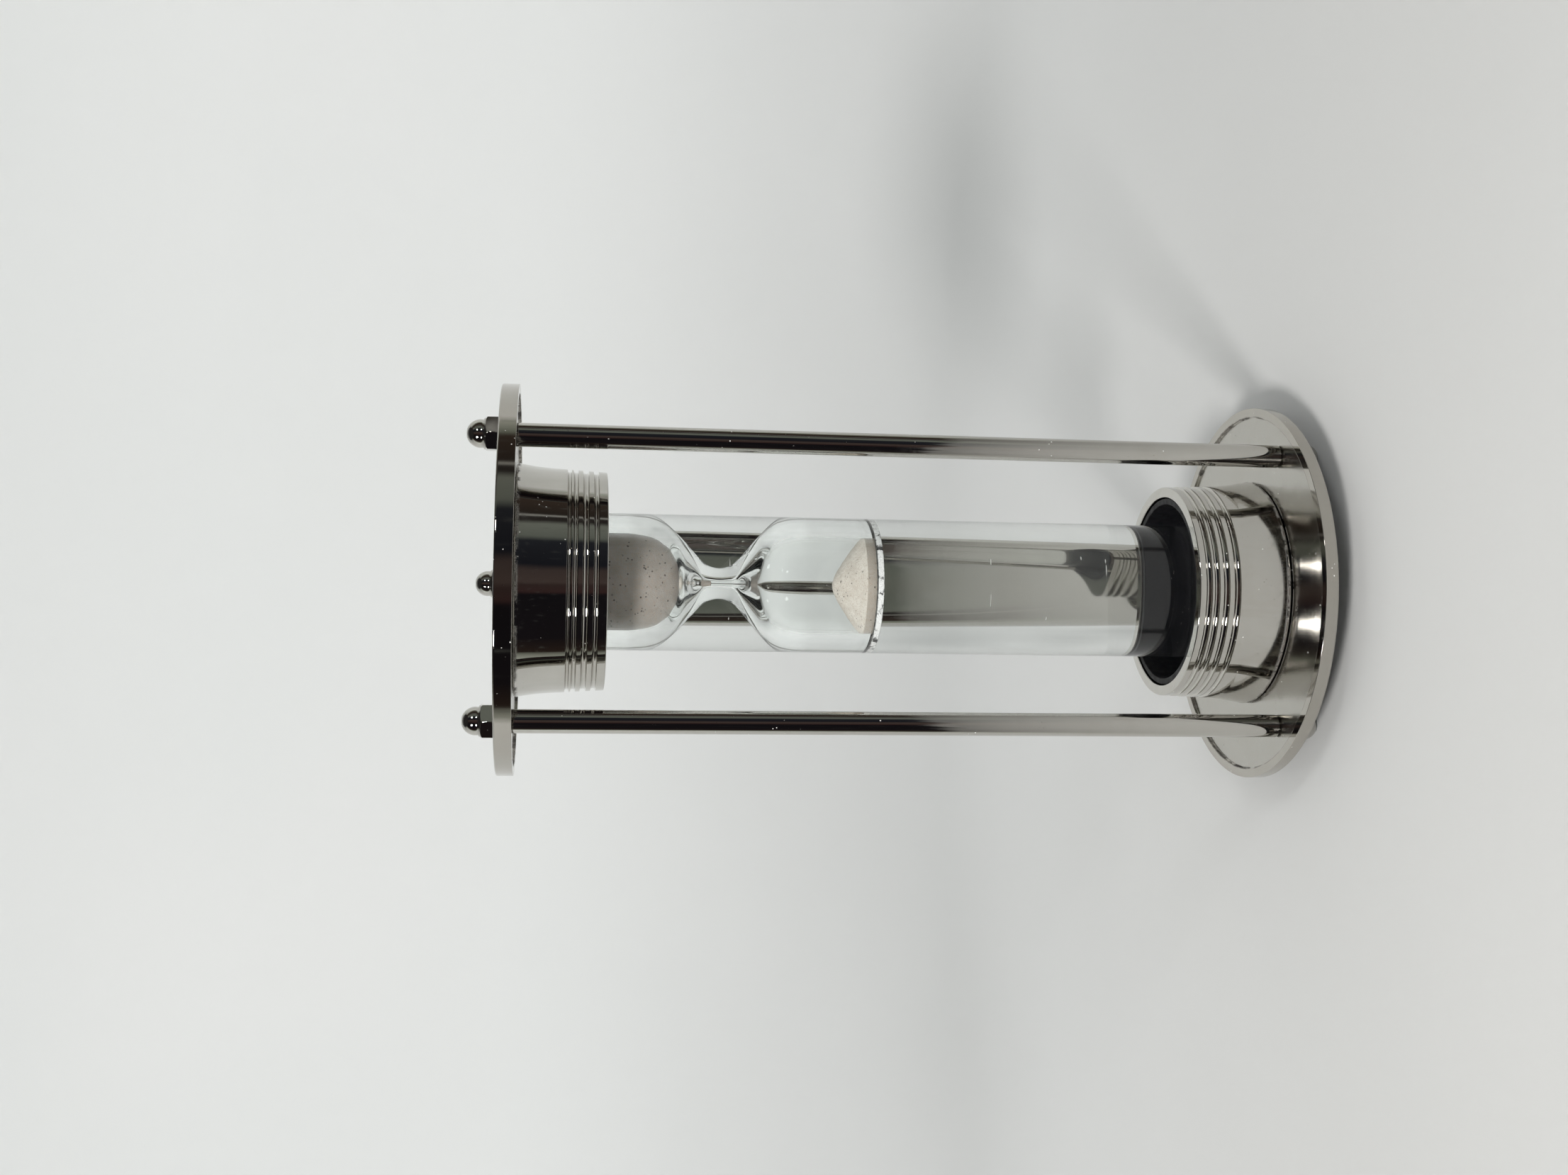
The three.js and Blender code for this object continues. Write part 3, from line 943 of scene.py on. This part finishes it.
def grainy(made, amount, scale):
    """Moves each vertex a little along its normal, so that loose sand has a grainy edge."""
    normals = [vertex.normal.copy() for vertex in made.data.vertices]
    for vertex, normal in zip(made.data.vertices, normals):
        vertex.co += normal * noise.noise(vertex.co * scale) * amount * MM


def upper_sand(material):
    """Sand that has still to fall: it fills the funnel, with a crater in its surface."""
    low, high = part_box("upper_sand")
    neck = middle("hourglass_bulbs")
    start = (low.z - neck.z) / MM
    border = (high.z - neck.z) / MM
    outline = [(0, start)]
    for d in distances_along(GLASS_INSIDE):
        if d > start:
            outline.append((on_curve(GLASS_INSIDE, d) - SAND_CLEARANCE, d))
    full = GLASS_INSIDE[-1][0]
    wall_steps, crater_steps = 8, 12
    for i in range(1, wall_steps + 1):
        height = full + (border - full) * i / wall_steps
        outline.append((GLASS_BORE - SAND_CLEARANCE, height))
    for i in range(1, crater_steps + 1):
        share = i / crater_steps
        outline.append((GLASS_BORE * (1 - share), border - CRATER * share))
    made = lathe("sand_above", outline, GLASS_ROUND, neck)
    grainy(made, *GRAINS)
    made.data.materials.append(material)
    return settle(made, "float", "sand", "upper_sand")


def lower_sand(material):
    """The heap: a cone that meets the wall in a low bank."""
    low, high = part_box("lower_sand")
    peak = (high.z - low.z) / MM
    floor_gap = DISC_SEAM - STUD_CLEARANCE
    wall = GLASS_BORE - SAND_CLEARANCE
    outline = [(0, floor_gap), (wall, floor_gap), (wall, BANK)]
    steps = 40
    full = math.hypot(wall, HEAP_TIP) - HEAP_TIP
    for i in range(1, steps + 1):
        radius = wall * (1 - i / steps)
        drop = (math.hypot(radius, HEAP_TIP) - HEAP_TIP) / full
        outline.append((radius, peak - (peak - BANK) * drop))
    made = lathe("sand_below", outline, GLASS_ROUND, (0, 0, low.z))
    grainy(made, *HEAP_GRAINS)
    made.data.materials.append(material)
    return settle(made, "float", "sand", "lower_sand")


def air_bubble(material):
    """A small bubble that clings to the outside of the lower funnel."""
    neck = middle("hourglass_bulbs")
    half_width = BUBBLE_RADIUS * BUBBLE_WIDTH
    reach = (on_curve(GLASS_OUTSIDE, BUBBLE_BELOW) + half_width) * MM
    place = (
        reach * math.cos(BUBBLE_SIDE),
        reach * math.sin(BUBBLE_SIDE),
        neck.z - BUBBLE_BELOW * MM,
    )
    outline = [(0, -BUBBLE_RADIUS)]
    steps = 16
    for i in range(1, steps):
        turn = math.pi * i / steps - math.pi / 2
        outline.append((half_width * math.cos(turn), BUBBLE_RADIUS * math.sin(turn)))
    outline.append((0, BUBBLE_RADIUS))
    made = lathe("air_bubble", outline, BUBBLE_ROUND, place)
    made.data.materials.append(material)
    return settle(made, "float", "clear_glass")


# ================================================================== studio, in m
FLOOR_FLAT = 0.42  # radius of the flat part
FLOOR_DROP = 0.00002  # how far the floor lies below the feet
STUDIO_ROUND = 128
SWEEP = 0.45  # radius of the backdrop's rise
WALL_TOP = 1.3
ROOM_START = 0.41  # how far in front of the stand the pale cloth ends
SHADE_START = 0.10  # from here to there the cloth grows dimmer
SHADE_DEPTH = 0.7
ROOM_GAP = 0.012  # the room's card stands this far inside the wall
ROOM_HEIGHT = 0.002  # and this far above the floor
ROOM_COLUMNS = 90
CEILING_GAP = 0.02
CEILING_RADIUS = 0.7
CEILING_END = 0.44  # how far behind the stand the dark ceiling ends
ROOM_SOFT = 5.0  # width in degrees of the fade at its sides
ROOM_BANDS = (  # azimuth from the front, + is right, and colour
    (-84, (0.42, 0.44, 0.39)),
    (-78, (0.20, 0.21, 0.18)),
    (-76, (0.030, 0.020, 0.016)),
    (-60, (0.012, 0.010, 0.012)),
    (-16, (0.010, 0.009, 0.011)),
    (-13, (0.048, 0.026, 0.025)),
    (-6, (0.044, 0.029, 0.027)),
    (-3, (0.075, 0.055, 0.050)),
    (9, (0.062, 0.046, 0.043)),
    (14, (0.014, 0.015, 0.020)),
    (38, (0.022, 0.024, 0.030)),
    (43, (0.150, 0.165, 0.145)),
    (56, (0.190, 0.205, 0.180)),
    (60, (0.030, 0.026, 0.024)),
    (64, (0.030, 0.026, 0.024)),
    (65.5, (0.400, 0.400, 0.380)),
    (67, (0.030, 0.024, 0.020)),
    (86, (0.050, 0.036, 0.028)),
    (90, (0.220, 0.240, 0.200)),
    (98, (0.420, 0.440, 0.390)),
)
LAMPS = (  # azimuth, height, distance, size, how bright it mirrors
    (-36, 0.56, 0.70, 0.11, 90.0),
    (30, 0.56, 0.70, 0.07, 90.0),
)
LIGHTS = (  # name, azimuth, elevation, distance, size, watts, colour
    ("key", -28, 35, 1.1, 0.2, 9.5, (1.0, 0.985, 0.97)),
    ("fill", 30, 36, 1.1, 0.24, 1.9, (0.97, 0.985, 1.0)),
    ("top", 20, 80, 1.2, 0.9, 0.8, (0.98, 1.0, 1.0)),
)
WORLD_COLOUR = (0.95, 0.975, 0.97, 1)
WORLD_STRENGTH = 0.25


def studio_cloth():
    """Pale floor that rises all round into a seamless backdrop. Its colour holds painted light:
    darker in front, lighter behind and lighter still up the wall.
    """
    n = Nodes("pale_cloth")
    patch = n.noise(2.2, 3, 0.5)
    weave = n.noise(1600, 2)
    # painted light: the floor is darker in front and lighter behind
    front = n.mix(n.span(patch, 0.3, 0.7), (0.50, 0.50, 0.49), (0.54, 0.54, 0.53))
    back = n.mix(n.span(patch, 0.3, 0.7), (0.66, 0.665, 0.66), (0.70, 0.705, 0.70))
    floor = n.mix(n.span(n.axis("Y"), -0.15, 0.30, smooth=True), front, back)
    wall = n.mix(n.span(patch, 0.3, 0.7), (0.80, 0.815, 0.81), (0.83, 0.835, 0.83))
    # painted light: the wall is lighter than the floor
    rise = n.span(n.axis("Z"), -0.02, 0.24, smooth=True)
    n.set(Base_Color=n.mix(rise, floor, wall), Roughness=0.95)
    n.bump(weave, 0.15, 1e-4)
    return n.material


def sweep_outline(gap=0.0, first=0.0):
    """Radius and height in m of the backdrop from the end of the flat floor up."""
    steps = 48
    outline = []
    for i in range(steps + 1):
        angle = math.pi / 2 * i / steps
        radius = FLOOR_FLAT + (SWEEP - gap) * math.sin(angle)
        height = SWEEP - (SWEEP - gap) * math.cos(angle)
        if radius >= first:
            outline.append((radius, height))
    outline.append((outline[-1][0], WALL_TOP))
    return outline


def studio():
    cloth = studio_cloth()
    drop = FLOOR_DROP / MM
    flat = turned("studio_floor", [(0, -drop), (FLOOR_FLAT / MM, -drop)], STUDIO_ROUND)
    outline = [(r / MM, z / MM - drop) for r, z in sweep_outline()]
    wall = turned("studio_wall", outline, STUDIO_ROUND)
    wall.visible_shadow = False
    for made in (flat, wall):
        made.data.materials.append(cloth)
        for face in made.data.polygons:
            face.use_smooth = True


def only_mirrored(name, strength, paint):
    """A glowing surface that only mirrors see: everything else looks through it. paint(nodes)
    gives its colour and how much of it there is."""
    n = Nodes(name)
    colour, cover = paint(n)
    glow = n.tree.nodes.new("ShaderNodeEmission")
    glow.inputs["Strength"].default_value = strength
    n.link(colour, glow.inputs["Color"])
    gap = n.tree.nodes.new("ShaderNodeBsdfTransparent")
    path = n.tree.nodes.new("ShaderNodeLightPath")
    mirrored = n.math("GREATER_THAN", path.outputs["Glossy Depth"], 0.5)
    both = n.tree.nodes.new("ShaderNodeMixShader")
    n.link(n.math("MULTIPLY", mirrored, cover), both.inputs[0])
    n.link(gap.outputs[0], both.inputs[1])
    n.link(glow.outputs[0], both.inputs[2])
    n.link(both.outputs[0], n.output.inputs["Surface"])
    n.tree.nodes.remove(n.surface)
    return n.material


def direction(azimuth, elevation):
    """Azimuth 0 is the front, -Y, and grows to the right, +X. Degrees."""
    a, e = math.radians(azimuth), math.radians(elevation)
    return Vector((math.sin(a) * math.cos(e), -math.cos(a) * math.cos(e), math.sin(e)))


def mirror_only_object(made):
    made.visible_shadow = False
    made.visible_diffuse = False


def room_paint(n):
    """Upright bands of the unlit room, with blurred shapes in them and soft sides."""
    azimuth = n.math("ARCTAN2", n.axis("X"), n.math("MULTIPLY", n.axis("Y"), -1))
    degrees = n.math("MULTIPLY", azimuth, 180 / math.pi)
    first, last = ROOM_BANDS[0][0], ROOM_BANDS[-1][0]
    shift = n.math("MULTIPLY", n.math("SUBTRACT", n.noise(3.0, 2), 0.5), 5.0)
    wavy = n.math("ADD", degrees, shift)
    bands = n.tree.nodes.new("ShaderNodeValToRGB")
    n.link(n.span(wavy, first, last), bands.inputs["Fac"])
    stops = bands.color_ramp.elements
    stops[0].position, stops[1].position = 0, 1
    stops[0].color = (*ROOM_BANDS[0][1], 1)
    stops[1].color = (*ROOM_BANDS[-1][1], 1)
    for at, colour in ROOM_BANDS[1:-1]:
        stops.new((at - first) / (last - first)).color = (*colour, 1)
    glimmer = n.span(n.noise(16, 3, 0.6, n.stretched((1.6, 1.6, 0.35))), 0.62, 0.72)
    colour = n.mix(n.math("MULTIPLY", glimmer, 0.5), bands.outputs[0], (0.10, 0.105, 0.10))
    low_side = n.span(degrees, first - ROOM_SOFT, first)
    high_side = n.span(degrees, last, last + ROOM_SOFT, 1.0, 0.0)
    reach = n.radius()
    edge = n.math("ADD", reach, n.math("MULTIPLY", n.noise(5, 2), 0.06))
    shade = n.span(reach, SHADE_START, ROOM_START, 0.0, SHADE_DEPTH)
    near_side = n.math("MAXIMUM", n.span(edge, ROOM_START, ROOM_START + 0.05), shade)
    return colour, n.math("MULTIPLY", n.math("MULTIPLY", low_side, high_side), near_side)


def dark_room():
    """The unlit room in front of the cloth, as the polished metal mirrors it."""
    outline = [(SHADE_START, ROOM_HEIGHT), (FLOOR_FLAT - 0.01, ROOM_HEIGHT)]
    outline += sweep_outline(ROOM_GAP, FLOOR_FLAT + 0.01) + [(0.02, WALL_TOP)]
    first = ROOM_BANDS[0][0] - ROOM_SOFT
    last = ROOM_BANDS[-1][0] + ROOM_SOFT
    columns = ROOM_COLUMNS
    vertices, faces = [], []
    for radius, height in outline:
        for i in range(columns + 1):
            around = direction(first + (last - first) * i / columns, 0) * radius
            vertices.append(around + Vector((0, 0, height)))
    for j in range(len(outline) - 1):
        for i in range(columns):
            a = j * (columns + 1) + i
            faces.append((a, a + 1, a + columns + 2, a + columns + 1))
    made = new_object("dark_room", vertices, faces)
    made.data.materials.append(only_mirrored("dark_room", 1.0, room_paint))
    mirror_only_object(made)


def ceiling_paint(n):
    """Unlit ceiling over the stand. It ends in a soft line behind it."""
    colour = n.mix(n.noise(4, 3), (0.012, 0.012, 0.014), (0.045, 0.042, 0.040))
    return colour, n.span(n.axis("Y"), CEILING_END - 0.06, CEILING_END, 1.0, 0.0)


def dark_ceiling():
    height = (WALL_TOP - CEILING_GAP) / MM
    outline = [(0, height), (CEILING_RADIUS / MM, height)]
    made = turned("dark_ceiling", outline, SMALL_ROUND)
    made.data.materials.append(only_mirrored("dark_ceiling", 1.0, ceiling_paint))
    mirror_only_object(made)


def lamp_paint(n):
    """Warm in the middle, a little uneven."""
    return n.mix(n.noise(40, 2), (1.0, 0.96, 0.95), (0.95, 0.98, 1.0)), 1.0


def lamps():
    """The room's lamps as the metal mirrors them: small bright discs."""
    for number, (azimuth, height, distance, size, mirrored) in enumerate(LAMPS):
        centre = direction(azimuth, 0) * distance + Vector((0, 0, height))
        look = (-centre).to_track_quat("-Z", "Y").to_matrix()
        vertices = [centre]
        sides = 24
        for k in range(sides):
            angle = 2 * math.pi * k / sides
            spot = Vector((math.cos(angle), math.sin(angle), 0)) * size / 2
            vertices.append(centre + look @ spot)
        faces = [(0, k + 1, (k + 1) % sides + 1) for k in range(sides)]
        made = new_object(f"lamp_{number}", vertices, faces)
        made.data.materials.append(only_mirrored(f"lamp_glow_{number}", mirrored, lamp_paint))
        mirror_only_object(made)


def area_light(name, azimuth, elevation, distance, size, power, colour):
    towards = direction(azimuth, elevation)
    data = bpy.data.lights.new(name, "AREA")
    data.shape = "DISK"
    data.size = size
    data.energy = power
    data.color = colour
    light = bpy.data.objects.new(name, data)
    light.location = towards * distance
    light.rotation_mode = "QUATERNION"
    light.rotation_quaternion = (-towards).to_track_quat("-Z", "Y")
    light.visible_camera = False
    light.visible_glossy = False
    light.visible_transmission = False
    bpy.context.scene.collection.objects.link(light)


def lights():
    for light in LIGHTS:
        area_light(*light)
    world = bpy.data.worlds.new("studio")
    world.use_nodes = True
    back = world.node_tree.nodes["Background"]
    back.inputs["Color"].default_value = WORLD_COLOUR
    back.inputs["Strength"].default_value = WORLD_STRENGTH
    bpy.context.scene.world = world


def look_settings():
    scene = bpy.context.scene
    scene.view_settings.view_transform = "Standard"
    scene.view_settings.look = "None"
    scene.cycles.max_bounces = 40
    scene.cycles.transmission_bounces = 36
    scene.cycles.glossy_bounces = 16
    scene.cycles.diffuse_bounces = 4
    scene.cycles.transparent_max_bounces = 40
    scene.cycles.caustics_reflective = False
    scene.cycles.blur_glossy = 0.3
    scene.cycles.sample_clamp_indirect = 6.0


# ================================================================== assembly
def main():
    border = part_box("base_plate")[1].x / MM - LIP_WIDTH
    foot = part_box("lower_collar")[1].x / MM
    plate_nickel = nickel(
        "nickel_plate",
        "radius",
        PLATE_NICKEL,
        grain=0.35,
        haze=0.18,
        # painted shade at the lip's inner corner and at the collar's foot
        shaded_rings=((border - 0.1, 0.4), (foot, 0.3)),
        border_from=border,
    )
    # painted shade at the collar's foot
    collar_nickel = nickel("nickel_collar", "height", grain=0.5, shaded_rings=((foot, 0.15),))
    rod_nickel = nickel("nickel_rod", "height", grain=0.25)
    nut_nickel = nickel("nickel_nut", "height", grain=0.25)
    steel = screw_steel()
    lining = black_seat()
    rubber = black_rubber()
    # edge sets the painted dark outline of the outer faces
    tube_air = clear("tube_outside", TUBE_TO_AIR, wave=0.02, edge=0.9)
    tube_liquid = clear("tube_inside", TUBE_TO_LIQUID, wave=0.02)
    glass_liquid = clear("glass_outside", GLASS_TO_LIQUID, wave=0.03, edge=0.8)
    glass_air = clear("glass_inside", GLASS_TO_AIR, wave=0.03)
    rough_edge = ground_edge()
    bubble_skin = clear("bubble_skin", BUBBLE_SKIN)

    plate("base_plate", "base_plate_turned", False, plate_nickel)
    plate("top_plate", "top_plate_turned", True, plate_nickel)
    ends = (
        ("lower", False, LOWER_GROOVES, LOWER_SHAPE),
        ("upper", True, UPPER_GROOVES, UPPER_SHAPE),
    )
    for end, flip, grooves, shape in ends:
        collar(f"{end}_collar", f"{end}_collar_turned", grooves, shape, flip, collar_nickel)
        collar_screw(f"{end}_collar_screw", f"{end}_screw_slotted", flip, steel)
        seat(f"{end}_seat", f"{end}_seat_lining", flip, lining)
        plug(f"{end}_plug", f"{end}_plug_moulded", rubber)
    for side in ("left", "right", "back"):
        rod(f"rod_{side}", f"rod_{side}_polished", rod_nickel)
        cap_nut(f"top_nut_{side}", f"top_nut_{side}_domed", False, nut_nickel)
        cap_nut(f"foot_nut_{side}", f"foot_nut_{side}_domed", True, nut_nickel)
    tube((tube_air, tube_liquid))
    bulbs((glass_liquid, glass_air, seam_line()))
    discs = (glass_liquid, glass_air, rough_edge)
    end_disc("hourglass_lower_disc", "lower_disc_ground", False, discs)
    end_disc("hourglass_upper_disc", "upper_disc_ground", True, discs)
    # the upper sand's colours carry painted shade
    upper_sand(sand("sand_above", *SHADED_UPPER_SAND, 0.85))
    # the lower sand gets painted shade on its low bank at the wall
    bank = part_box("lower_sand")[0].z + BANK * MM
    lower_sand(sand("sand_below", *LOWER_SAND, 0.75, bank))
    air_bubble(bubble_skin)
    studio()
    dark_room()
    dark_ceiling()
    lamps()
    lights()
    look_settings()


main()
